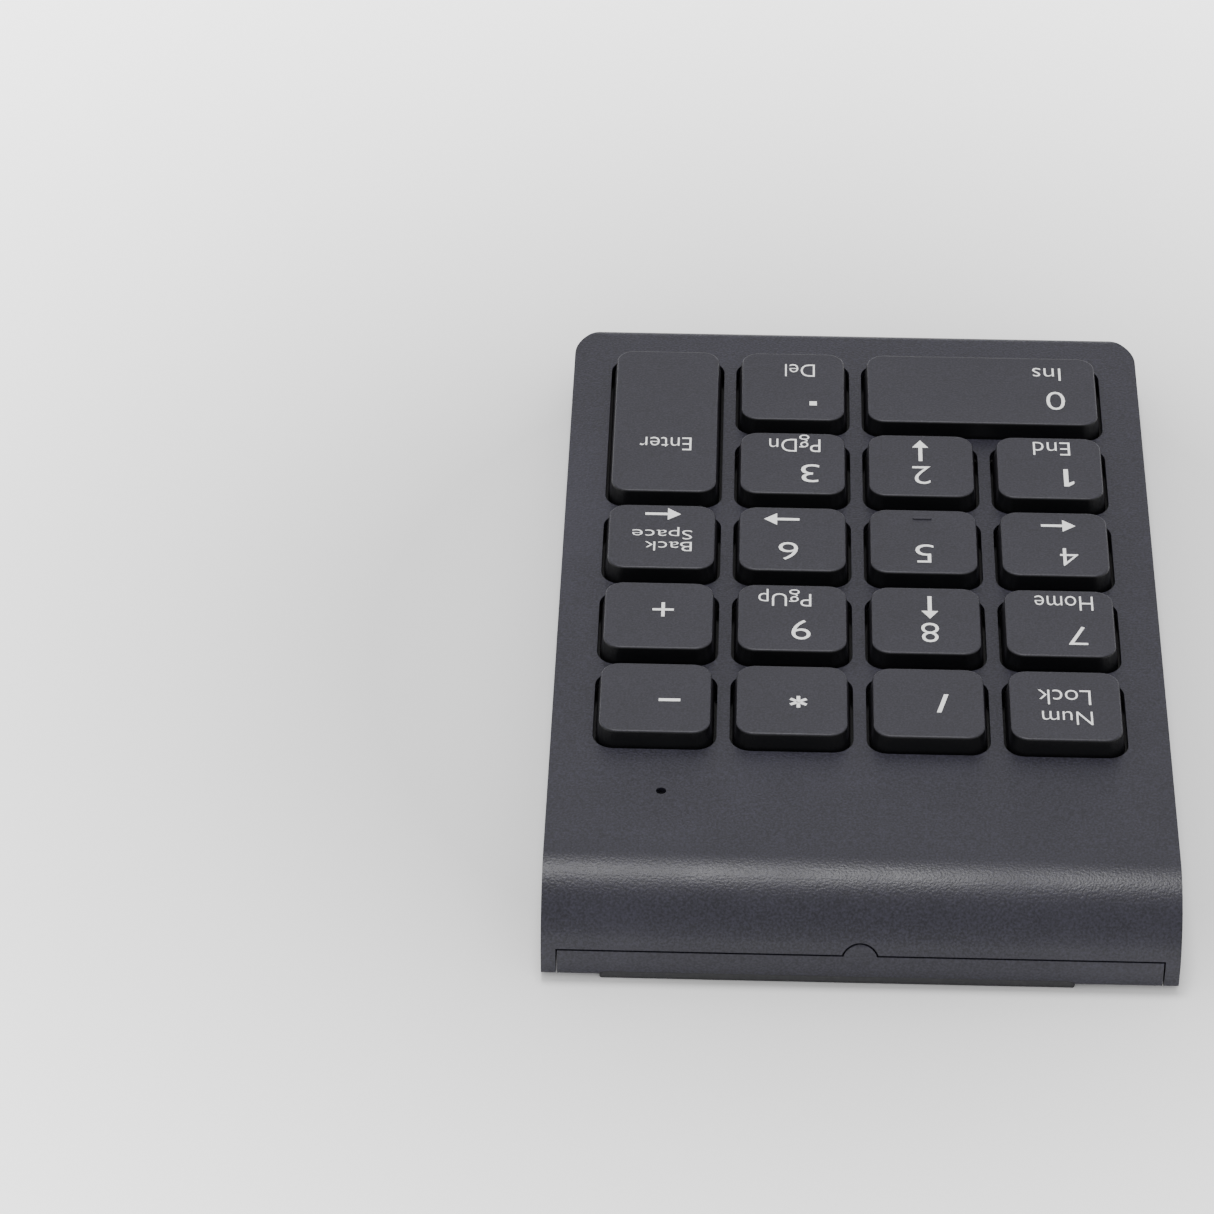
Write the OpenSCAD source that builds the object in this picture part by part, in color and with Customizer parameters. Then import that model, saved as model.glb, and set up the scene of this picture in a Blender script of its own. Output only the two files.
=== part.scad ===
// Wireless numeric keypad: a wedge-shaped case with 18 low keys, and a bay for two AAA cells
// behind them, closed by a door that wraps the lower back edge and swings down on two pins.
// Row frame: +X to the user's right, +Y away from the user, +Z up, origin on the table under
// the centre of the case. Everything under the keys is laid out on the tilted deck, where
// x runs right, y runs back along the deck and z stands square to it, from the grid's centre.

/* [Case] */
// Width of the case
body_w = 85.8; // [85.4:0.1:88]
// Length of the case, front to back
body_l = 137.2; // [136.8:0.1:138]
// Slope of the key deck, in degrees
deck_tilt = 3; // [2.9:0.05:3.1]
// Height of the deck's outer face at the centre of the key grid
deck_h = 10.1; // [10.05:0.05:10.6]
// Distance from the case's front face to the centre of the key grid
grid_from_front = 57.9; // [57.6:0.1:58.2]
// Radius of the roll-over at the back
back_r = 10.3; // [10:0.1:10.4]
// Radius of the edge between the deck and the front face
front_r = 2.5; // [1:0.1:3]
// Radius of the two front corners, seen from above
corner_r = 7.5; // [4:0.5:9]
// Thickness of the deck and back wall
deck_wall = 1.2; // [1:0.05:1.25]
// Thickness of the side and front walls
side_wall = 2; // [1.8:0.1:2.1]
// Thickness of the bottom plate
floor_wall = 1.2; // [1:0.05:1.2]
// How far the feet hold the case off the table
foot_h = 0.3; // [0.2:0.05:0.35]

/* [Keys] */
// Distance between key centres
pitch = 19; // [19:0.05:19.1]
// Side of a single key's top face
cap_top = 15.4; // [14.5:0.1:15.8]
// Side of a single key at its skirt
cap_base = 16.4; // [16:0.1:16.6]
// Side of a single key's opening in the deck
key_hole = 17.2; // [17:0.1:17.6]
// Corner radius of a key's top face
cap_r = 2.6; // [2:0.1:3]
// Height of the key tops above the deck
cap_rise = 2.4; // [2.2:0.1:2.8]
// How far a key goes down
travel = 2; // [1.5:0.1:2]
// How much further the front row of keys reaches than the others
front_row = 2.1; // [0:0.1:2.4]

/* [Battery bay] */
// Diameter of a cell
cell_d = 10.2; // [9.8:0.1:10.2]
// Length of a cell over its button
cell_l = 44.5; // [43.3:0.1:44.5]
// Height of the seam above the door, from the table
seam_h = 5; // [4.6:0.1:5.4]
// Radius of the round thumb tab on the door
tab_r = 2.3; // [2:0.1:2.6]

/* [Hidden] */
$fn = 48;
eps = 0.01;
slip = 0.2;                     // gap round a piece that drops into place
case_color = [0.29, 0.29, 0.32];
key_color = [0.22, 0.22, 0.24];
rubber_color = [0.12, 0.12, 0.13];
steel_color = [0.72, 0.73, 0.75];

// ---- the key grid: name, column and row of the centre, columns and rows covered
KEYS = [
    ["num_lock", 0, 0, 1, 1], ["divide", 1, 0, 1, 1], ["multiply", 2, 0, 1, 1], ["minus", 3, 0, 1, 1],
    ["7", 0, 1, 1, 1], ["8", 1, 1, 1, 1], ["9", 2, 1, 1, 1], ["plus", 3, 1, 1, 1],
    ["4", 0, 2, 1, 1], ["5", 1, 2, 1, 1], ["6", 2, 2, 1, 1], ["backspace", 3, 2, 1, 1],
    ["1", 0, 3, 1, 1], ["2", 1, 3, 1, 1], ["3", 2, 3, 1, 1], ["enter", 3, 3.5, 1, 2],
    ["0", 0.5, 4, 2, 1], ["decimal", 2, 4, 1, 1],
];
KEYCAPS = [for (k = KEYS) str("keycap_", k[0])];
function key_x(k) = (k[1] - 1.5) * pitch;
function key_y(k) = (2 - k[2]) * pitch;
function span(side, cells) = side + (cells - 1) * pitch;
function reach(k) = k[2] + (k[4] - 1) / 2 == 4 ? front_row : 0;
function long(k) = max(k[3], k[4]) > 1;

// ---- the case, in the row frame
under = foot_h;                              // underside of the case
deck_y = grid_from_front - body_l / 2;       // the grid's centre
arc_y = body_l / 2 - back_r;                 // centre of the roll-over
arc_z = deck_at(arc_y) - back_r / cos(deck_tilt);
bottom_r = 1.2;                              // rounding under the back edge
function deck_at(y) = deck_h + (y - deck_y) * tan(deck_tilt);
cavity_w = body_w - 2 * side_wall;

// ---- levels square to the deck, below its outer face
skirt_z = -0.8;                              // lower edge of a keycap at rest
cap_wall = 1.2;
cap_under = cap_rise - 1.4;                  // underside of a keycap's top
guide_top = -3.9;
guide_h = 0.8;
collar_top = -1.2;
stem_r = 4;                                  // hollow stem that slides in a collar
stem_bore_r = 3.25;
stem_clear = 0.1;
sheet_top = -4.7;                            // rubber sheet, then membrane, then steel
stem_z = sheet_top + travel + 0.1;           // lower end of a stem at rest
sheet_h = 0.3;
dome_h = 2.95;
post_r = 1.5;                                // two more posts steady a wide key
post_at = 9.5;
film_t = 0.12;                               // each of three films
film_h = 3 * film_t;
steel_h = 0.5;
film_z = sheet_top - sheet_h - film_h;
steel_z = film_z - steel_h;
stack = [77.4, 96.4];                        // size of the plates under the keys

// ---- case screws stand where four keys meet
SCREWS = [[-pitch, 1.5 * pitch], [pitch, 1.5 * pitch], [-pitch, -0.5 * pitch], [pitch, -0.5 * pitch],
          [0, -1.5 * pitch]];
boss_r = 2;
shoulder_r = 2.4;
boss_z = -6.2;
screw_r = 0.95;
head_r = 1.9;
head_h = 1;
head_seat = -7.1;

// ---- battery bay
hinge = [43.9, under + 0.8];                 // y and z of the door's pins
knuckle_r = 0.8;
pin_r = 0.5;
pin_l = 1.2;
door_wall = 1;
seam_gap = 0.25;
tab_z = seam_h - 0.5;
bay_wall = 1.2;
plate_end = hinge[0] - knuckle_r - slip;
bay_left = -38.2;
bay_right = 12.5;
cell_z = under + door_wall + cell_d / 2 + 0.1;
CELL_Y = [49.5, 60.4];
contact_t = 0.4;
shelf_z = hinge[1] + knuckle_r + slip;       // what hangs over the door starts here
shelf_h = 1;
shelf_l = 21.3;
door_w = cavity_w - 2 * slip;
foot_x = [-29, 35];                          // ends of the strip along the door's back edge
foot_y = [64.4, body_l / 2 - 0.15];
foot_top = 1.4;

// ---- circuit board, on the deck's axes
board = [16, 40, 49.5, 74];                  // x from, x to, y from, y to
board_h = 1;
board_z = film_z - board_h;                  // the membrane's tail lies on its top face
BOARD_POSTS = [[19.5, 51.5], [36.5, 51.5], [19.5, 70], [36.5, 70]];
LED = [27.3, 55.7];
led_hole_r = 0.7;

module on_deck() {
    translate([0, deck_y, deck_h]) rotate([deck_tilt, 0, 0]) children();
}

// Side profile of the case, shrunk by inset from the deck, the back and the front, down to low.
module side_profile(inset = 0, front = 0, low = under) {
    r = back_r - inset;
    y0 = -body_l / 2 + front;
    y1 = body_l / 2 - inset;
    fy = y0 + front_r;
    fz = deck_at(fy) - front_r / cos(deck_tilt);
    tip = [fy - front_r * sin(deck_tilt), fz + front_r * cos(deck_tilt)];
    difference() {
        intersection() {
            translate([y0, low]) square([y1 - y0, 40]);
            union() {
                translate([arc_y, arc_z]) circle(r = r, $fn = 96);
                polygon([[y0, low], [y1, low], [y1, arc_z], [arc_y, arc_z],
                         [arc_y - r * sin(deck_tilt), arc_z + r * cos(deck_tilt)],
                         [y0, deck_at(y0) - inset / cos(deck_tilt)]]);
            }
        }
        if (inset == 0) translate([y1 - bottom_r, under]) difference() {
            translate([0, -eps]) square([bottom_r + eps, bottom_r + eps]);
            translate([0, bottom_r]) circle(r = bottom_r);
        }
        if (inset == 0) difference() {
            polygon([[y0 - 1, fz], [fy, fz], tip, [tip[0], tip[1] + 1], [y0 - 1, tip[1] + 1]]);
            translate([fy, fz]) circle(r = front_r);
        }
    }
}

module along_x(width) {
    rotate([90, 0, 90]) linear_extrude(width, center = true) children();
}

// What a vertical corner of radius r loses, at the two front corners of a plate half_w wide.
module front_corners(half_w, front_y, r) {
    for (s = [-1, 1]) translate([s * (half_w - r), front_y + r, -1]) difference() {
        translate([s > 0 ? 0 : -r - 1, -r - 1, 0]) cube([r + 1, r + 1, 30]);
        translate([0, 0, -1]) cylinder(r = r, h = 32);
    }
}

module rounded_box(size, r, h) {
    linear_extrude(h) union() {
        square([size[0] - 2 * r, size[1]], center = true);
        square([size[0], size[1] - 2 * r], center = true);
        for (x = [-1, 1], y = [-1, 1]) translate([x * (size[0] / 2 - r), y * (size[1] / 2 - r)])
            circle(r = r);
    }
}

module tab_disc(r, depth) {
    translate([0, body_l / 2 + 1, tab_z]) rotate([90, 0, 0]) cylinder(r = r, h = depth + 1);
}

// ---- the shells
module top_shell() {
    color(case_color) difference() {
        union() {
            difference() {
                along_x(body_w) side_profile();
                along_x(cavity_w) side_profile(deck_wall, side_wall, under - 1);
                front_corners(body_w / 2, -body_l / 2, corner_r);
            }
            intersection() {
                difference() {
                    along_x(body_w) side_profile();
                    front_corners(body_w / 2, -body_l / 2, corner_r);
                }
                inner_corners(corner_r - side_wall);
            }
            on_deck() for (p = SCREWS) translate([p[0], p[1], 0]) {
                translate([0, 0, boss_z]) cylinder(r = boss_r, h = -boss_z - 0.5);
                translate([0, 0, guide_top]) cylinder(r = shoulder_r, h = -guide_top - 0.5);
            }
        }
        on_deck() {
            for (k = KEYS) translate([key_x(k), key_y(k) - reach(k) / 2, -deck_wall - 1])
                rounded_box([span(key_hole, k[3]), span(key_hole, k[4]) + reach(k)], cap_r + 0.4, 4);
            for (p = SCREWS) translate([p[0], p[1], boss_z - 1]) cylinder(r = screw_r + 0.05, h = 4.6);
            translate([LED[0], LED[1], -3]) cylinder(r = led_hole_r, h = 4);
        }
        translate([-cavity_w / 2, hinge[0], under - 1])
            cube([cavity_w, body_l, seam_h + seam_gap - under + 1]);
        tab_disc(tab_r + seam_gap, deck_wall + 4);
        door_axle(pin_r + 0.08, cavity_w + 2 * pin_l);
    }
}

// The fill that rounds the inside of the two front corners.
module inner_corners(r) {
    intersection() {
        front_corners(cavity_w / 2, -body_l / 2 + side_wall, r);
        translate([-cavity_w / 2 - eps, -body_l / 2 + side_wall - eps, under])
            cube([cavity_w + 2 * eps, r + 2 * eps, 8]);
    }
}

module door_axle(r, l) {
    translate([0, hinge[0], hinge[1]]) rotate([0, 90, 0]) cylinder(r = r, h = l, center = true);
}

module bottom_plate() {
    front = -body_l / 2 + side_wall + slip;
    difference() {
        translate([-door_w / 2, front, under]) cube([door_w, plate_end - front, floor_wall]);
        front_corners(door_w / 2, front, corner_r - side_wall);
    }
}

module screw_cups(r, low, top) {
    on_deck() for (p = SCREWS) translate([p[0], p[1], low]) cylinder(r = r, h = top - low);
}

module bottom_shell() {
    wall_y = plate_end - bay_wall;
    color(case_color) difference() {
        intersection() {
            union() {
                bottom_plate();
                screw_cups(head_r + 1.2, -14, head_seat + 0.8);
                on_deck() for (x = [-1.5, -0.5, 0.5, 1.5])
                    translate([x * pitch - 0.6, 1 - stack[1] / 2, -14])
                        cube([1.2, stack[1] - 2, 14 + steel_z]);
                translate([bay_left - 1, wall_y, under]) cube([bay_right - bay_left + 2, bay_wall, 10.5]);
                translate([bay_right, wall_y, under]) cube([door_w / 2 - bay_right, bay_wall, 2.8]);
                for (x = [bay_left - 1, bay_right]) translate([x, plate_end - 1, shelf_z])
                    cube([1, shelf_l, 7.2]);
                translate([bay_left - 1, (CELL_Y[0] + CELL_Y[1]) / 2 - 0.6, shelf_z])
                    cube([bay_right - bay_left + 2, 1.2, 1]);
                translate([bay_right, plate_end - 1, shelf_z])
                    cube([door_w / 2 - bay_right, shelf_l, shelf_h]);
                on_deck() for (p = BOARD_POSTS) translate([p[0], p[1], -14])
                    cylinder(r = 1.9, h = 14 + board_z);
            }
            along_x(door_w) side_profile(deck_wall + slip, side_wall, under);
            union() {
                translate([-60, -90, under]) cube([120, 90 + plate_end, 20]);
                translate([-60, plate_end - 1, shelf_z]) cube([120, 40, 20]);
            }
        }
        screw_cups(head_r + 0.3, -20, head_seat);
        screw_cups(screw_r + 0.2, -20, 0);
        on_deck() for (p = BOARD_POSTS) translate([p[0], p[1], board_z - 3]) cylinder(r = 0.75, h = 4);
        for (s = [-1, 1]) translate([s * 33, -60, under - 1]) cylinder(r = 4.1, h = 1.3);
    }
}

module battery_door() {
    color(case_color) difference() {
        union() {
            intersection() {
                difference() {
                    along_x(door_w) side_profile();
                    along_x(door_w + 1) side_profile(1.2, 1.2, under + door_wall);
                }
                union() {
                    translate([-door_w / 2, hinge[0], 0]) cube([door_w, body_l, seam_h]);
                    tab_disc(tab_r, 2.4);
                }
            }
            translate([foot_x[0] - 1.2, foot_y[0] - 0.8, under + 0.2])
                cube([foot_x[1] - foot_x[0] + 2.4, body_l / 2 - foot_y[0] + 0.2, 2]);
            door_axle(knuckle_r, door_w);
            door_axle(pin_r, door_w + 2 * pin_l);
        }
        translate([0, body_l / 2 + 8.8, tab_z]) sphere(r = 9, $fn = 64);
        foot_strip(0.05, -1, 2);
    }
}

// ---- feet and fasteners
// The strip's section along X, drawn from z = low; back is how far it is carried out rearwards.
module foot_strip(grow, low, back) {
    x0 = foot_x[0] - grow;
    x1 = foot_x[1] + grow;
    top = foot_top + grow;
    translate([0, foot_y[1] + back, 0]) rotate([90, 0, 0])
        linear_extrude(foot_y[1] - foot_y[0] + back + grow) intersection() {
            translate([x0 - 1, low]) square([x1 - x0 + 2, 5]);
            union() {
                translate([x0, low - 1]) square([x1 - x0, top - low]);
                translate([x0 + 1, low]) square([x1 - x0 - 2, top - low]);
                for (x = [x0 + 1, x1 - 1]) translate([x, top - 1]) circle(r = 1);
            }
        }
}

module rear_foot() {
    color(rubber_color) foot_strip(0, 0, 0);
}

module front_feet() {
    color(rubber_color) for (s = [-1, 1]) translate([s * 33, -60, 0]) cylinder(r = 4, h = under + 0.25);
}

module case_screws() {
    color(steel_color) on_deck() for (p = SCREWS) translate([p[0], p[1], head_seat]) difference() {
        union() {
            translate([0, 0, -head_h]) cylinder(r = head_r, h = head_h);
            cylinder(r = screw_r, h = 4.2);
        }
        for (a = [0, 90]) rotate(a) translate([-1.2, -0.25, -head_h - 1]) cube([2.4, 0.5, 1.6]);
    }
}

// ---- keys
module plate_outline(size, r, h) {
    linear_extrude(h) hull() for (x = [-1, 1], y = [-1, 1])
        translate([x * (size[0] / 2 - r), y * (size[1] / 2 - r)]) circle(r = r, $fn = 32);
}

module keycap(k) {
    top = [span(cap_top, k[3]), span(cap_top, k[4]) + reach(k)];
    base = [span(cap_base, k[3]), span(cap_base, k[4]) + reach(k)];
    hollow = [base[0] - 2 * cap_wall, base[1] - 2 * cap_wall];
    color(key_color) on_deck() translate([key_x(k), key_y(k), 0]) {
        translate([0, -reach(k) / 2, 0]) difference() {
            hull() {
                translate([0, 0, skirt_z]) plate_outline(base, cap_r + 0.2, 0.1);
                translate([0, 0, cap_rise - 0.1]) plate_outline(top, cap_r, 0.1);
            }
            translate([-hollow[0] / 2, -hollow[1] / 2, skirt_z - 1])
                cube([hollow[0], hollow[1], cap_under - skirt_z + 1]);
        }
        translate([0, 0, stem_z]) difference() {
            cylinder(r = stem_r, h = cap_under - stem_z + 0.2);
            translate([0, 0, -1]) cylinder(r = stem_bore_r, h = cap_under - stem_z + 1);
        }
        translate([0, 0, sheet_top + dome_h + 0.05])
            cylinder(r = 1.5, h = cap_under - sheet_top - dome_h + 0.1);
        posts(k, stem_z) cylinder(r = post_r, h = cap_under - stem_z + 0.2);
    }
}

// Places its children on the two posts of a wide key, low above the deck's face.
module posts(k, low) {
    if (long(k)) for (s = [-1, 1]) rotate(k[4] > 1 ? 90 : 0) translate([s * post_at, 0, low]) children();
}

module screw_holes(low, h, r = 2.6) {
    for (p = SCREWS) translate([p[0], p[1], low]) cylinder(r = r, h = h);
}

module key_guide_plate() {
    low = guide_top - guide_h;
    wall_h = collar_top - low;
    color([0.16, 0.16, 0.17]) on_deck() difference() {
        union() {
            translate([-stack[0] / 2, -stack[1] / 2, low]) cube([stack[0], stack[1], guide_h]);
            for (k = KEYS) translate([key_x(k), key_y(k), 0]) {
                translate([0, 0, low]) cylinder(r = stem_r + 1.2, h = wall_h);
                posts(k, low) cylinder(r = post_r + 1.1, h = wall_h);
            }
        }
        for (k = KEYS) translate([key_x(k), key_y(k), 0]) {
            translate([0, 0, low - 1]) cylinder(r = stem_r + stem_clear, h = 6);
            posts(k, low - 1) cylinder(r = post_r + stem_clear, h = 6);
        }
        screw_holes(low - 1, 3, boss_r + 0.15);
    }
}

module dome_sheet() {
    color([0.80, 0.80, 0.78]) on_deck() difference() {
        union() {
            translate([-stack[0] / 2, -stack[1] / 2, sheet_top - sheet_h])
                cube([stack[0], stack[1], sheet_h]);
            for (k = KEYS) translate([key_x(k), key_y(k), sheet_top - eps])
                cylinder(r1 = 3, r2 = 1.8, h = dome_h + eps);
        }
        for (k = KEYS) translate([key_x(k), key_y(k), sheet_top - sheet_h - eps])
            cylinder(r1 = 2.6, r2 = 1.3, h = dome_h);
        screw_holes(sheet_top - 2, 4);
    }
}

// One of the three films, counted up from the steel plate.
module film(level) {
    low = film_z + level * film_t;
    on_deck() difference() {
        union() {
            translate([-stack[0] / 2, -stack[1] / 2, low]) cube([stack[0], stack[1], film_t]);
            if (level == 0) translate([22.5, stack[1] / 2 - eps, low]) cube([11, 4.6, film_t]);
        }
        screw_holes(low - 1, 3);
        if (level == 1) for (k = KEYS) translate([key_x(k), key_y(k), low - 1]) cylinder(r = 2, h = 3);
    }
}

module upper_film() {
    color([0.82, 0.84, 0.86, 0.8]) film(2);
}

module spacer_film() {
    color([0.82, 0.84, 0.86, 0.8]) film(1);
}

module lower_film() {
    color([0.82, 0.84, 0.86, 0.8]) film(0);
}

module backing_plate() {
    color(steel_color) on_deck() difference() {
        translate([-stack[0] / 2, -stack[1] / 2, steel_z]) cube([stack[0], stack[1], steel_h]);
        screw_holes(steel_z - 1, 3);
    }
}

// ---- electronics
module circuit_board() {
    color([0.10, 0.32, 0.18]) on_deck() difference() {
        translate([board[0], board[2], board_z]) cube([board[1] - board[0], board[3] - board[2], board_h]);
        for (p = BOARD_POSTS) translate([p[0], p[1], board_z - 1]) cylinder(r = 1, h = 3);
    }
}

module controller_chip() {
    color([0.06, 0.06, 0.07]) on_deck() {
        translate([24, 60, film_z + 0.1]) cube([8, 5, 1.1]);
        for (i = [0:5], s = [0, 1]) translate([24.5 + i * 1.3, s ? 65 : 59, film_z])
            cube([0.5, 1, 0.4]);
    }
}

module crystal() {
    color(steel_color) on_deck() translate([20.5, 61, film_z]) rounded_box([3, 5], 1.4, 1.4);
}

module capacitors() {
    color([0.62, 0.50, 0.36]) on_deck() for (i = [0:3]) translate([22.5 + 3 * i, 68, film_z])
        cube([1.6, 0.8, 0.7]);
}

module led() {
    color([0.9, 0.9, 0.7]) on_deck() translate([LED[0] - 0.8, LED[1] - 0.5, film_z]) cube([1.6, 1, 0.6]);
}

module light_pipe() {
    low = film_z + 0.65;
    color([0.15, 0.15, 0.16]) on_deck() translate([LED[0], LED[1], 0]) {
        translate([0, 0, low]) cylinder(r = led_hole_r - 0.05, h = -0.8 - low);
        translate([0, 0, -deck_wall - 0.75]) cylinder(r = 1.5, h = 0.7);
    }
}

module membrane_clamp() {
    color([0.16, 0.16, 0.17]) on_deck() difference() {
        translate([17.3, 49.8, film_z + film_t]) cube([21.4, 3.4, 1.2]);
        for (i = [0, 1]) translate([BOARD_POSTS[i][0], BOARD_POSTS[i][1], film_z - 1])
            cylinder(r = 0.9, h = 4);
    }
}

module board_screws() {
    color(steel_color) on_deck() for (i = [0:3]) {
        seat = i < 2 ? film_z + film_t + 1.2 : film_z;
        translate([BOARD_POSTS[i][0], BOARD_POSTS[i][1], seat]) cylinder(r = 1.5, h = 0.8);
        translate([BOARD_POSTS[i][0], BOARD_POSTS[i][1], board_z - 2.5])
            cylinder(r = 0.7, h = seat - board_z + 2.5);
    }
}

// ---- cells and contacts
// A cell lies along X with its button towards side s, against the contact there.
module cell(y, s) {
    end = s > 0 ? bay_right - contact_t : bay_left + contact_t;
    color([0.25, 0.35, 0.30]) translate([end, y, cell_z]) rotate([0, -90 * s, 0]) {
        cylinder(r = 1.9, h = 1.5);
        translate([0, 0, 1]) cylinder(r = cell_d / 2, h = cell_l - 1);
    }
}

module battery_front() {
    cell(CELL_Y[0], 1);
}

module battery_rear() {
    cell(CELL_Y[1], -1);
}

// A coil of wire round the X axis, as a chain of short facets.
module spring(x, y, s) {
    length = bay_right - bay_left - 2 * contact_t - cell_l - 0.9;
    n = 48;
    ring = [for (i = [0:n], j = [0:5]) let (a = 360 * 4 * i / n, r = 2.6 + 0.4 * cos(60 * j))
        [length * i / n + 0.4 * sin(60 * j), r * cos(a), r * sin(a)]];
    sides = [for (i = [0:n - 1], j = [0:5]) let (p = 6 * i + j, q = 6 * i + (j + 1) % 6)
        each [[p, p + 6, q], [q, p + 6, q + 6]]];
    ends = [for (j = [1:4]) each [[0, j, j + 1], [6 * n, 6 * n + j + 1, 6 * n + j]]];
    color(steel_color) translate([x, y, cell_z]) rotate([0, s > 0 ? 0 : 180, 0])
        translate([0.45, 0, 0]) polyhedron(ring, concat(sides, ends));
}

module battery_springs() {
    spring(bay_left + contact_t + 0.01, CELL_Y[0], 1);
    spring(bay_right - contact_t - 0.01, CELL_Y[1], -1);
}

module contact_plate(x, y0, y1) {
    color(steel_color) translate([x, y0, cell_z - 3.3]) cube([contact_t, y1 - y0, 6.6]);
}

module contact_bridge() {
    contact_plate(bay_left, CELL_Y[0] - 4, CELL_Y[1] + 4);
}

module contact_positive() {
    contact_plate(bay_right - contact_t, CELL_Y[0] - 4, CELL_Y[0] + 4);
}

module contact_negative() {
    contact_plate(bay_right - contact_t, CELL_Y[1] - 4, CELL_Y[1] + 4);
}

top_shell();
bottom_shell();
battery_door();
rear_foot();
front_feet();
case_screws();
for (i = [0:len(KEYS) - 1]) keycap(KEYS[i]);
key_guide_plate();
dome_sheet();
upper_film();
spacer_film();
lower_film();
backing_plate();
circuit_board();
controller_chip();
crystal();
capacitors();
led();
light_pipe();
membrane_clamp();
board_screws();
battery_front();
battery_rear();
battery_springs();
contact_bridge();
contact_positive();
contact_negative();
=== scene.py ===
"""Looks for the numeric keypad: keycaps with legends, procedural plastics, and a white set."""
import math

import bpy
import bmesh
from mathutils import Matrix, Vector


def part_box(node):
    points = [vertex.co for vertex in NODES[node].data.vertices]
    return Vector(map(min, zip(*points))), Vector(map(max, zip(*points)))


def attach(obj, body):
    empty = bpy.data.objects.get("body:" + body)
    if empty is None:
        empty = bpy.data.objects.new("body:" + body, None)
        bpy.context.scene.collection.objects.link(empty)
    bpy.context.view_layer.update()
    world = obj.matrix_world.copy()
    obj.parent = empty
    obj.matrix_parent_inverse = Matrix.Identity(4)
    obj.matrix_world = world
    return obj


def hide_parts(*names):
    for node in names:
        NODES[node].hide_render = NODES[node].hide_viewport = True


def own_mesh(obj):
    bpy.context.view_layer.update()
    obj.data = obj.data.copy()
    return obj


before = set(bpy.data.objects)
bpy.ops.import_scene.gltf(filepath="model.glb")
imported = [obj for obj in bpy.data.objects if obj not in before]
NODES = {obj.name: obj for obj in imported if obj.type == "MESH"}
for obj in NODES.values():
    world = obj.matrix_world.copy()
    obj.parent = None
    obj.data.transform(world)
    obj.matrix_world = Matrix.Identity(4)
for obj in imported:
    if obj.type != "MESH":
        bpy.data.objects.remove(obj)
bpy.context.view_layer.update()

# ---------------------------------------------------------------- sizes, in mm unless a line says otherwise
MM = 0.001                                      # one mm in metres
TILT = math.radians(3)
GRID_Y, GRID_Z = -10.7, 10.1                    # centre of the key grid, on the deck
DECK = Matrix.Translation((0, GRID_Y * MM, GRID_Z * MM)) @ Matrix.Rotation(TILT, 4, "X")
PITCH = 19.0
CAP_TOP, CAP_BASE, CAP_R = 15.4, 16.4, 2.6      # a single key: top face, skirt, corner radius
CAP_RISE, SKIRT, CEILING = 2.4, -0.8, 1.0       # levels above the deck
CAP_EDGE, DISH = 0.32, 0.12                     # rounding of the top's edge, depth of its dish
CAP_WALL = 1.2                                  # thickness of the sides
TOP_FACING = 0.55                               # a face that points up less than this is a side, and gets the darker copy of the key plastic as painted shade
PRINT_RISE = 0.03                               # how far the print stands off the top
STEM_Z, STEM_R, STEM_BORE = -2.6, 4.0, 3.25
PLUNGER_Z, POST_R, POST_AT = -1.7, 1.5, 9.5
SHEET_TOP, DOME_H, DOME_R, DOME_TOP_R = -4.7, 2.95, 3.0, 1.8
CLOSED = 0.02                                   # radius at which a round end counts as closed
BAR_FROM_LEFT, BAR_FROM_BACK = 7.8, 13.3        # middle of the raised bar on 5, on the key's top
CELL_Z = 6.5                                    # axis of both cells above the table
RING_IN, RING_OUT = 1.95, 4.6                   # radii of the bare metal round a cell's button
RING_NEAR, RING_FAR = 0.9, 0.98                 # its depth below the button's tip
LAMP_AT, LAMP_POWER, LAMP_SIZE = (0.05, -0.155, 0.95), 6.0, 0.24     # metres and watts
WORLD_STRENGTH = 0.85
FLOOR_SIZE = 6.0                                # metres
GLOW_FROM, GLOW_TO, GLOW = 0.07, 0.22, 2.4      # the floor's light fades in over these metres
CAMERA_AT, LOOK_AT, LENS = (18.66, 557.56, 476.1), (36.4, -9.4, 0), 149.7
KEYS = ["num_lock", "divide", "multiply", "minus", "7", "8", "9", "plus", "4", "5", "6", "backspace",
        "1", "2", "3", "enter", "0", "decimal"]
# legends: (text, left, cap top, baseline, width), mm from the user's left and from the back edge
WORDS = {
    "num_lock": [("Num", 4.0, 3.5, 6.5, 7.0), ("Lock", 4.1, 8.0, 11.3, 7.3)],
    "7": [("7", 3.9, 2.7, 7.0, 2.75), ("Home", 2.8, 10.8, 14.1, 8.3)],
    "8": [("8", 5.9, 2.7, 7.2, 2.5)],
    "9": [("9", 5.1, 2.7, 7.3, 2.7), ("PgUp", 5.0, 10.5, 13.4, 7.55)],
    "4": [("4", 4.4, 2.5, 6.8, 2.6)],
    "5": [("5", 6.3, 2.55, 7.0, 2.6)],
    "6": [("6", 6.9, 2.6, 6.9, 2.8)],
    "backspace": [("Back", 3.3, 4.2, 6.45, 6.8), ("Space", 3.3, 7.1, 9.3, 8.7)],
    "1": [("End", 4.5, 11.05, 14.3, 5.45)],
    "2": [("2", 6.3, 3.1, 7.6, 2.7)],
    "3": [("3", 3.8, 3.0, 7.5, 2.65), ("PgDn", 3.6, 10.7, 13.9, 7.6)],
    "enter": [("Enter", 3.8, 10.5, 13.8, 7.7)],
    "decimal": [("Del", 4.4, 11.5, 14.7, 4.5)],
    "0": [("0", 4.7, 3.9, 8.6, 2.8), ("Ins", 5.1, 11.6, 14.9, 4.25)],
}
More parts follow.
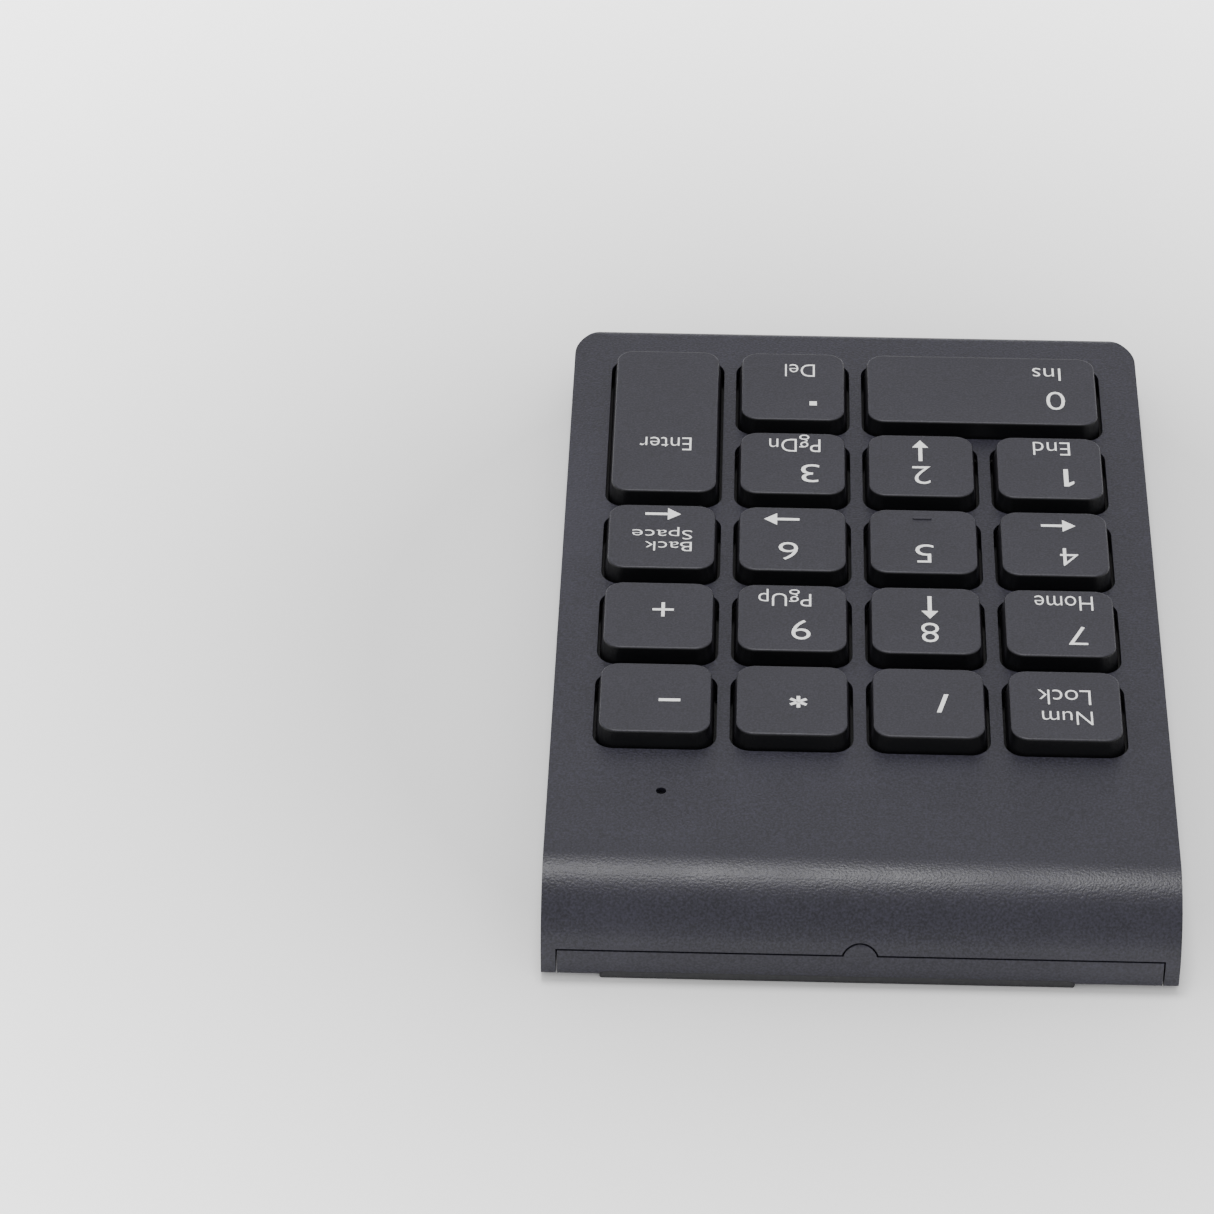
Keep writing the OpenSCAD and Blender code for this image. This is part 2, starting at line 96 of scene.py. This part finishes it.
# arrows: middle of the line, tail, tip (mm), direction, head length and width
ARROWS = {
    "8": ("up", 7.1, 13.4, 8.2, 1.8, 2.4), "2": ("down", 7.75, 8.9, 14.1, 1.8, 2.4),
    "4": ("left", 12.2, 9.5, 4.5, 1.9, 2.8), "6": ("right", 12.5, 6.7, 11.85, 1.9, 2.8),
    "backspace": ("left", 13.2, 10.2, 5.0, 1.9, 2.8),
}


# ---------------------------------------------------------------- materials
def node(nt, kind, **inputs):
    n = nt.nodes.new(kind)
    for key, value in inputs.items():
        if isinstance(value, bpy.types.NodeSocket):
            nt.links.new(value, n.inputs[key])
        else:
            n.inputs[key].default_value = value
    return n


def ramp(nt, fac, stops):
    r = nt.nodes.new("ShaderNodeValToRGB")
    nt.links.new(fac, r.inputs["Fac"])
    for i, (pos, val) in enumerate(stops):
        e = r.color_ramp.elements[i] if i < 2 else r.color_ramp.elements.new(pos)
        e.position = pos
        e.color = (val, val, val, 1) if isinstance(val, (int, float)) else (*val, 1)
    return r.outputs["Color"]


def mix_color(nt, factor, a, b, blend="MIX"):
    """Colour a with b laid over it. Each of the three is a value or a socket."""
    mix = nt.nodes.new("ShaderNodeMix")
    mix.data_type = "RGBA"
    mix.blend_type = blend
    for slot, value in ((0, factor), (6, a), (7, b)):
        if isinstance(value, bpy.types.NodeSocket):
            nt.links.new(value, mix.inputs[slot])
        else:
            mix.inputs[slot].default_value = value
    return mix.outputs[2]


def lighter(color, gain):
    return (*[min(1, c * gain + 0.01) for c in color], 1)


def make(name, color, rough=0.5, metallic=0.0, grain=3800.0, grain_bump=0.02, speck=0.0,
         blotch=0.06, alpha=1.0, transmission=0.0, wear=0.0, scuff=0.0, streak=False, specular=0.5):
    """A principled material with grain and blotches, and optional worn edges or rubbed patches."""
    m = bpy.data.materials.new(name)
    m.use_nodes = True
    nt = m.node_tree
    nt.nodes.clear()
    out = nt.nodes.new("ShaderNodeOutputMaterial")
    bsdf = nt.nodes.new("ShaderNodeBsdfPrincipled")
    nt.links.new(bsdf.outputs["BSDF"], out.inputs["Surface"])
    coord = nt.nodes.new("ShaderNodeTexCoord").outputs["Object"]
    if streak:
        squeeze = nt.nodes.new("ShaderNodeMapping")
        nt.links.new(coord, squeeze.inputs["Vector"])
        squeeze.inputs["Scale"].default_value = (0.04, 1, 1)
        coord = squeeze.outputs["Vector"]
    fine = node(nt, "ShaderNodeTexNoise", Vector=coord, Scale=grain, Detail=2.0).outputs["Fac"]
    wide = node(nt, "ShaderNodeTexNoise", Vector=coord, Scale=90.0, Detail=4.0).outputs["Fac"]
    tone = ramp(nt, wide, [(0.3, 1 - blotch), (0.7, 1 + blotch)])
    dots = ramp(nt, fine, [(0.35, 1 - speck), (0.72, 1 + speck)])
    base = mix_color(nt, 1.0, (*color, 1), tone, "MULTIPLY")
    base = mix_color(nt, 1.0, base, dots, "MULTIPLY")
    if wear:
        geo = nt.nodes.new("ShaderNodeNewGeometry")
        edge = ramp(nt, geo.outputs["Pointiness"], [(0.52, 0.0), (0.6, wear)])
        base = mix_color(nt, edge, base, lighter(color, 1.8))
    if scuff:
        # rubbed patches, broken up by a finer noise
        patch = node(nt, "ShaderNodeTexNoise", Vector=coord, Scale=34.0, Detail=6.0).outputs["Fac"]
        rubbed = ramp(nt, patch, [(0.56, 0.0), (0.72, scuff)])
        base = mix_color(nt, rubbed, base, lighter(color, 1.9))
    nt.links.new(base, bsdf.inputs["Base Color"])
    uneven = ramp(nt, wide, [(0.25, rough - 0.04), (0.75, rough + 0.05)])
    nt.links.new(uneven, bsdf.inputs["Roughness"])
    bsdf.inputs["Metallic"].default_value = metallic
    bsdf.inputs["Alpha"].default_value = alpha
    bsdf.inputs["Specular IOR Level"].default_value = specular
    bsdf.inputs["Transmission Weight"].default_value = transmission
    bump = nt.nodes.new("ShaderNodeBump")
    bump.inputs["Strength"].default_value = 0.5
    bump.inputs["Distance"].default_value = grain_bump * MM
    nt.links.new(fine, bump.inputs["Height"])
    nt.links.new(bump.outputs["Normal"], bsdf.inputs["Normal"])
    return m


MATS = {
    "case_plastic": make("case_plastic", (0.0195, 0.0185, 0.029), 0.40, grain=3000, grain_bump=0.11,
                         speck=0.45, scuff=0.22, specular=0.4),
    "key_plastic": make("key_plastic", (0.023, 0.022, 0.031), 0.46, grain=3400, grain_bump=0.06,
                        speck=0.3, wear=0.2, specular=0.4),
    # the sides of the keys: a darker copy of the key plastic, its colour painted shade for sides that face
    # away from the lamp
    "key_side_painted_shade": make("key_side_painted_shade", (0.006, 0.006, 0.007), 0.32, grain_bump=0.015, speck=0.1,
                     specular=0.3),
    "foot_rubber": make("foot_rubber", (0.030, 0.030, 0.033), 0.7, grain=2200, grain_bump=0.03,
                        speck=0.15),
    "inner_plastic": make("inner_plastic", (0.012, 0.012, 0.013), 0.55, speck=0.1),
    "dome_rubber": make("dome_rubber", (0.55, 0.55, 0.50), 0.6, speck=0.05),
    "film": make("film", (0.62, 0.66, 0.70), 0.15, speck=0.0, alpha=0.6),
    "plate_steel": make("plate_steel", (0.5, 0.51, 0.53), 0.35, 1.0, streak=True, speck=0.08),
    "screw_steel": make("screw_steel", (0.6, 0.6, 0.62), 0.3, 1.0, streak=True, speck=0.08),
    "board": make("board", (0.015, 0.11, 0.045), 0.35, speck=0.1),
    "chip": make("chip", (0.012, 0.012, 0.014), 0.5, speck=0.1),
    "can_metal": make("can_metal", (0.65, 0.65, 0.66), 0.28, 1.0, streak=True, speck=0.06),
    "ceramic": make("ceramic", (0.38, 0.25, 0.14), 0.45, speck=0.1),
    "led_lens": make("led_lens", (0.75, 0.75, 0.55), 0.2, transmission=0.4),
    "pipe_tint": make("pipe_tint", (0.012, 0.012, 0.014), 0.25, transmission=0.2),
    "cell_jacket": make("cell_jacket", (0.05, 0.10, 0.075), 0.3, speck=0.04, wear=0.3),
    "contact_metal": make("contact_metal", (0.72, 0.72, 0.70), 0.25, 1.0, streak=True, speck=0.06),
    "legend": make("legend", (0.95, 0.95, 0.94), 0.55, grain_bump=0.01, blotch=0.03, speck=0.04),
    "cell_metal": make("cell_metal", (0.7, 0.7, 0.68), 0.25, 1.0, speck=0.04),
}

SLOT = {"top_shell": "case_plastic", "bottom_shell": "case_plastic", "battery_door": "case_plastic",
        "rear_foot": "foot_rubber", "front_feet": "foot_rubber", "case_screws": "screw_steel",
        "board_screws": "screw_steel", "key_guide_plate": "inner_plastic",
        "membrane_clamp": "inner_plastic",
        "dome_sheet": "dome_rubber", "upper_film": "film", "spacer_film": "film", "lower_film": "film",
        "backing_plate": "plate_steel", "circuit_board": "board", "controller_chip": "chip",
        "crystal": "can_metal", "capacitors": "ceramic", "led": "led_lens", "light_pipe": "pipe_tint",
        "battery_front": "cell_jacket", "battery_rear": "cell_jacket", "battery_springs": "contact_metal",
        "contact_bridge": "contact_metal", "contact_positive": "contact_metal",
        "contact_negative": "contact_metal"}
for name, slot in SLOT.items():
    NODES[name].data.materials.clear()
    NODES[name].data.materials.append(MATS[slot])


# ---------------------------------------------------------------- helpers
def add_object(name, data):
    ob = bpy.data.objects.new(name, data)
    bpy.context.scene.collection.objects.link(ob)
    return ob


def smooth(ob):
    for poly in ob.data.polygons:
        poly.use_smooth = True


def on_deck(x, y, z=0.0):
    """The place of a point given in mm on the deck."""
    return DECK @ Matrix.Translation((x * MM, y * MM, z * MM))


def soften(ob, width, segments=3, angle=30):
    """Merges the flat faces of a piece and rounds its edges, leaving its size alone."""
    weld = ob.modifiers.new("weld", "WELD")
    weld.merge_threshold = 1e-6
    flat = ob.modifiers.new("flat", "DECIMATE")
    flat.decimate_type = "DISSOLVE"
    flat.angle_limit = math.radians(0.5)
    bev = ob.modifiers.new("bevel", "BEVEL")
    bev.width = width * MM
    bev.segments = segments
    bev.limit_method = "ANGLE"
    bev.angle_limit = math.radians(angle)
    bev.harden_normals = False
    bev.use_clamp_overlap = True
    even = ob.modifiers.new("normals", "WEIGHTED_NORMAL")
    even.mode = "FACE_AREA_WITH_ANGLE"
    smooth(ob)


soften(NODES["top_shell"], 0.30)
soften(NODES["battery_door"], 0.18, 2)
soften(NODES["bottom_shell"], 0.15, 2)
soften(NODES["rear_foot"], 0.25, 2)
soften(NODES["front_feet"], 0.25, 2)


# ---------------------------------------------------------------- keycaps
def ring(w, d, r, z, n=8, cy=0.0):
    """A rounded rectangle as a list of points, in mm."""
    pts = []
    for sx, sy, a0 in ((1, 1, 0), (-1, 1, 90), (-1, -1, 180), (1, -1, 270)):
        for i in range(n + 1):
            a = math.radians(a0 + 90 * i / n)
            pts.append((sx * (w / 2 - r) + r * math.cos(a),
                        cy + sy * (d / 2 - r) + r * math.sin(a), z))
    return pts


def circle(r, z, n, x=0.0, y=0.0):
    turns = [2 * math.pi * i / n for i in range(n)]
    return [(x + r * math.cos(a), y + r * math.sin(a), z) for a in turns]


def loft(bm, rings, close_first=False, close_last=False):
    """Joins each ring of points to the next with faces."""
    rows = [[bm.verts.new([c * MM for c in p]) for p in r] for r in rings]
    n = len(rows[0])
    for a, b in zip(rows, rows[1:]):
        for i in range(n):
            bm.faces.new((a[i], a[(i + 1) % n], b[(i + 1) % n], b[i]))
    if close_first:
        bm.faces.new(list(reversed(rows[0])))
    if close_last:
        bm.faces.new(rows[-1])


def tube(bm, x, y, z0, z1, r_out, r_in=0.0, n=32):
    """A post, or with r_in a hollow one, open upwards into the cap."""
    if r_in:
        steps = [(r_in, z1), (r_in, z0), (r_out, z0), (r_out, z1)]
    else:
        steps = [(CLOSED, z0), (r_out, z0), (r_out, z1)]
    loft(bm, [circle(r, z, n, x, y) for r, z in steps])


def mesh_object(name, bm, material, matrix, outward=True):
    """Turns a bmesh into an object, with its faces turned outward unless they are right already."""
    if outward:
        bmesh.ops.recalc_face_normals(bm, faces=bm.faces)
    me = bpy.data.meshes.new(name)
    bm.to_mesh(me)
    bm.free()
    me.transform(matrix)
    me.materials.append(material)
    return add_object(name, me)


def key_geometry(key):
    """Stem centre, size beyond a single key, and forward reach, in mm on the deck."""
    cad = NODES["keycap_" + key]
    to_deck = DECK.inverted() @ cad.matrix_world
    points = [(to_deck @ v.co) / MM for v in cad.data.vertices]
    lo = [min(p[i] for p in points) for i in range(2)]
    hi = [max(p[i] for p in points) for i in range(2)]
    w, d = (hi[i] - lo[i] - CAP_BASE for i in range(2))
    ext = d - PITCH * round(d / PITCH) if d > 0.01 else 0.0
    return (lo[0] + hi[0]) / 2, (lo[1] + hi[1] + ext) / 2, w, d, ext


def build_keycap(key):
    x, y, w, d, ext = key_geometry(key)
    cy = -ext / 2
    bm = bmesh.new()
    top_w, top_d = CAP_TOP + w, CAP_TOP + d
    base_w, base_d = CAP_BASE + w, CAP_BASE + d
    wall = [ring(base_w - 0.1, base_d - 0.1, CAP_R + 0.15, SKIRT, cy=cy),
            ring(base_w, base_d, CAP_R + 0.2, SKIRT + 0.05, cy=cy)]
    # sloping side, then the rounded edge of the top
    for i in range(6):
        a = math.radians(90 * i / 5)
        inset = CAP_EDGE * (1 - math.cos(a))
        wall.append(ring(top_w + 0.1 - 2 * inset, top_d + 0.1 - 2 * inset, max(CAP_R - inset, 0.5),
                         CAP_RISE - CAP_EDGE + CAP_EDGE * math.sin(a), cy=cy))
    # the shallow dish
    for t in (0.86, 0.66, 0.42, 0.18):
        wall.append(ring(top_w * t, top_d * t, CAP_R * t, CAP_RISE - DISH * (1 - t * t), cy=cy))
    inner_w, inner_d = base_w - 2 * CAP_WALL, base_d - 2 * CAP_WALL
    inside = [ring(inner_w, inner_d, 1.0, z, cy=cy) for z in (CEILING, SKIRT)]
    loft(bm, inside + wall, close_first=True, close_last=True)
    tube(bm, 0, 0, STEM_Z, CEILING + 0.1, STEM_R, STEM_BORE, 40)
    tube(bm, 0, 0, PLUNGER_Z, CEILING + 0.1, POST_R)
    for side in (-POST_AT, POST_AT):
        if w > PITCH / 2:
            tube(bm, side, 0, STEM_Z, CEILING + 0.1, POST_R)
        elif d > PITCH / 2:
            tube(bm, 0, side, STEM_Z, CEILING + 0.1, POST_R)
    ob = mesh_object("cap_" + key, bm, MATS["key_plastic"], on_deck(x, y))
    smooth(ob)
    # faces that point up less than TOP_FACING get painted shade: the darker copy of the key plastic
    ob.data.materials.append(MATS["key_side_painted_shade"])
    across = (DECK.to_3x3() @ Vector((0, 0, 1))).normalized()
    for poly in ob.data.polygons:
        if poly.normal.dot(across) < TOP_FACING:
            poly.material_index = 1
    ob.modifiers.new("normals", "WEIGHTED_NORMAL")
    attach(ob, "key_" + key)
    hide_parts("keycap_" + key)


def top_z(u, v, w, d, cy):
    """Height of the dished top at a point, in mm above the deck."""
    t = max(abs(u) / ((CAP_TOP + w) / 2), abs(v - cy) / ((CAP_TOP + d) / 2), 0.18)
    return CAP_RISE - DISH * max(0.0, 1 - t * t)


def text_mesh(word):
    """A word in the built-in face, slightly thinned, as a flat mesh."""
    cu = bpy.data.curves.new("t", "FONT")
    cu.body = word
    cu.size = 0.01
    cu.offset = -0.00010
    cu.resolution_u = 4
    ob = add_object("t", cu)
    bpy.context.view_layer.update()
    me = bpy.data.meshes.new_from_object(ob.evaluated_get(bpy.context.evaluated_depsgraph_get()))
    bpy.data.objects.remove(ob)
    bpy.data.curves.remove(cu)
    return me


def cap_height():
    me = text_mesh("H")
    h = max(v.co.y for v in me.vertices)
    bpy.data.meshes.remove(me)
    return h


CAP_H = cap_height()


def build_legend(key):
    """The print on one key. Bare numbers are mm on its top."""
    x, y, w, d, ext = key_geometry(key)
    cy = -ext / 2
    back, left = (CAP_TOP + d) / 2 + cy, -(CAP_TOP + w) / 2
    bm = bmesh.new()

    def drop(me, matrix):
        me.transform(matrix)
        bm.from_mesh(me)
        bpy.data.meshes.remove(me)

    for word, l, t, b, width in WORDS.get(key, []):
        me = text_mesh(word)
        xs = [v.co.x for v in me.vertices]
        sx = width * MM / (max(xs) - min(xs))
        sy = (b - t) * MM / CAP_H
        drop(me, Matrix.Translation(((left + l) * MM - min(xs) * sx, (back - b) * MM, 0))
             @ Matrix.Diagonal((sx, sy, 1, 1)))

    def poly(points):
        bm.faces.new([bm.verts.new((px * MM, py * MM, 0)) for px, py in points])

    def bar(cx, cy_, bw, bh, a=0.0):
        c, s = math.cos(a), math.sin(a)
        poly([(cx + c * px - s * py, cy_ + s * px + c * py)
              for px, py in ((-bw / 2, -bh / 2), (bw / 2, -bh / 2), (bw / 2, bh / 2), (-bw / 2, bh / 2))])

    if key in ARROWS:
        way, mid, tail, tip, head, broad = ARROWS[key]
        s = 1 if tip > tail else -1
        neck = tip - s * head
        for shape in ([(tail, 0.28), (neck, 0.28), (neck, -0.28), (tail, -0.28)],
                      [(neck, broad / 2), (tip, 0), (neck, -broad / 2)]):
            if way in ("up", "down"):
                poly([(left + mid + q, back - p) for p, q in shape])
            else:
                poly([(left + p, back - mid + q) for p, q in shape])
    if key == "1":
        bar(left + 5.35, back - 5.3, 0.68, 4.4)
        poly([(left + 5.01, back - 3.1), (left + 4.2, back - 3.85), (left + 4.2, back - 4.5),
              (left + 5.01, back - 4.0)])
    if key == "divide":
        h, hw = 2.05, 0.85
        poly([(-1.96 - hw, -h), (-1.96 - hw + 0.62, -h), (-1.96 + hw, h), (-1.96 + hw - 0.62, h)])
    if key == "multiply":
        for i in range(3):
            bar(-0.9, 0.3, 2.6, 0.5, math.radians(90 + 60 * i))
    if key == "minus":
        bar(-1.96, 0.45, 3.0, 0.6)
    if key == "plus":
        bar(-0.6, back - 9.1, 3.05, 0.48)
        bar(-0.6, back - 9.1, 0.48, 3.3)
    if key == "decimal":
        bar(left + 4.65, back - 4.35, 1.1, 1.1)
    # lay the print on the dished top
    bmesh.ops.triangulate(bm, faces=bm.faces)
    bmesh.ops.subdivide_edges(bm, edges=[e for e in bm.edges if e.calc_length() > 1.2 * MM], cuts=2)
    for v in bm.verts:
        v.co.z = (top_z(v.co.x / MM, v.co.y / MM, w, d, cy) + PRINT_RISE) * MM
    for f in bm.faces:
        f.normal_update()
        if f.normal.z < 0:
            f.normal_flip()
    ob = mesh_object("legend_" + key, bm, MATS["legend"], on_deck(x, y), outward=False)
    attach(ob, "key_" + key)


def build_dome(key):
    """One rubber dome of the sheet, under its key."""
    x, y = key_geometry(key)[:2]
    under = [(DOME_R - 0.4, 0), (DOME_TOP_R - 0.5, DOME_H - 0.35), (CLOSED, DOME_H - 0.3)]
    over = [(DOME_R - 0.4, 0), (DOME_R, 0), (DOME_TOP_R + 0.1, DOME_H - 0.2),
            (DOME_TOP_R - 0.1, DOME_H), (CLOSED, DOME_H)]
    bm = bmesh.new()
    for steps in (under, over):
        loft(bm, [circle(r, z, 36) for r, z in steps])
    bmesh.ops.remove_doubles(bm, verts=bm.verts, dist=1e-7)
    foot = on_deck(x, y, SHEET_TOP)
    ob = mesh_object("dome_" + key, bm, MATS["dome_rubber"], foot)
    smooth(ob)
    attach(ob, "case")
    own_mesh(ob)


def build_dome_sheet():
    """The flat of the rubber sheet, cut from the CAD sheet below its domes."""
    cad = NODES["dome_sheet"]
    me = cad.data.copy()
    me.transform(DECK.inverted() @ cad.matrix_world)
    bm = bmesh.new()
    bm.from_mesh(me)
    bmesh.ops.bisect_plane(bm, geom=bm.verts[:] + bm.edges[:] + bm.faces[:],
                           plane_co=(0, 0, (SHEET_TOP + 0.002) * MM), plane_no=(0, 0, 1),
                           clear_outer=True)
    ob = mesh_object("dome_sheet_flat", bm, MATS["dome_rubber"], DECK)
    bpy.data.meshes.remove(me)
    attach(ob, "case")
    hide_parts("dome_sheet")


def build_homing_bar():
    """The raised bar on 5 that a finger finds."""
    x, y = key_geometry("5")[:2]
    x += BAR_FROM_LEFT - CAP_TOP / 2
    y += CAP_TOP / 2 - BAR_FROM_BACK
    bm = bmesh.new()
    loft(bm, [ring(2.8, 0.5, 0.24, 2.25, 6), ring(2.8, 0.5, 0.24, 2.5, 6), ring(2.6, 0.3, 0.14, 2.58, 6)],
         close_first=True, close_last=True)
    bar5 = mesh_object("homing_bar", bm, MATS["key_plastic"], on_deck(x, y))
    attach(bar5, "key_5")


def build_cell_end(tag, side):
    """Bare metal round the button of one cell."""
    low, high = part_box("battery_" + tag)
    end = high.x if side > 0 else low.x
    place = Matrix.Translation((end, (low.y + high.y) / 2, CELL_Z * MM))
    bm = bmesh.new()
    steps = [(RING_IN, RING_NEAR), (RING_OUT, RING_FAR), (RING_OUT, RING_NEAR)]
    loft(bm, [circle(r, z, 48) for r, z in steps])
    ob = mesh_object("cell_cap_" + tag, bm, MATS["cell_metal"],
                     place @ Matrix.Rotation(math.radians(-90 * side), 4, "Y"))
    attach(ob, "case")


for key in KEYS:
    build_keycap(key)
    build_legend(key)
    build_dome(key)
build_dome_sheet()
build_homing_bar()
build_cell_end("front", 1)
build_cell_end("rear", -1)


# ---------------------------------------------------------------- the set
def flat(name, size, material, z):
    me = bpy.data.meshes.new(name)
    s = size / 2
    me.from_pydata([(-s, -s, z), (s, -s, z), (s, s, z), (-s, s, z)], [], [(0, 1, 2, 3)])
    me.materials.append(material)
    return add_object(name, me)


paper = make("paper", (0.95, 0.95, 0.95), 0.9, grain_bump=0.0, blotch=0.0)
glow = paper.node_tree.nodes["Principled BSDF"]
glow.inputs["Emission Color"].default_value = (1, 1, 1, 1)
# the paper glows only well away from the object, so that nothing shines up through its gaps
nt = paper.node_tree
far = nt.nodes.new("ShaderNodeVectorMath")
far.operation = "LENGTH"
nt.links.new(nt.nodes.new("ShaderNodeTexCoord").outputs["Object"], far.inputs[0])
fade = nt.nodes.new("ShaderNodeMapRange")
for i, value in ((1, GLOW_FROM), (2, GLOW_TO), (3, 0.0), (4, GLOW)):
    fade.inputs[i].default_value = value
nt.links.new(far.outputs["Value"], fade.inputs[0])
nt.links.new(fade.outputs[0], glow.inputs["Emission Strength"])
floor = flat("floor", FLOOR_SIZE, paper, 0.0)

world = bpy.data.worlds.new("world")
bpy.context.scene.world = world
world.use_nodes = True
bg = world.node_tree.nodes["Background"]
bg.inputs["Color"].default_value = (1, 1, 1, 1)
bg.inputs["Strength"].default_value = WORLD_STRENGTH


def lamp(name, where, aim, energy, size):
    light = bpy.data.lights.new(name, "AREA")
    light.energy = energy
    light.size = size
    ob = add_object(name, light)
    ob.location = where
    ob.rotation_euler = (Vector(aim) - Vector(where)).to_track_quat("-Z", "Y").to_euler()


lamp("overhead", LAMP_AT, (0, 0, 0), LAMP_POWER, LAMP_SIZE)

cam = bpy.data.cameras.new("camera")
cam.sensor_width = 36
cam.lens = LENS
cam.clip_end = 20
camera = add_object("camera", cam)
camera.location = [c * MM for c in CAMERA_AT]
look = Vector([c * MM for c in LOOK_AT]) - camera.location
camera.rotation_euler = look.to_track_quat("-Z", "Y").to_euler()
bpy.context.scene.camera = camera
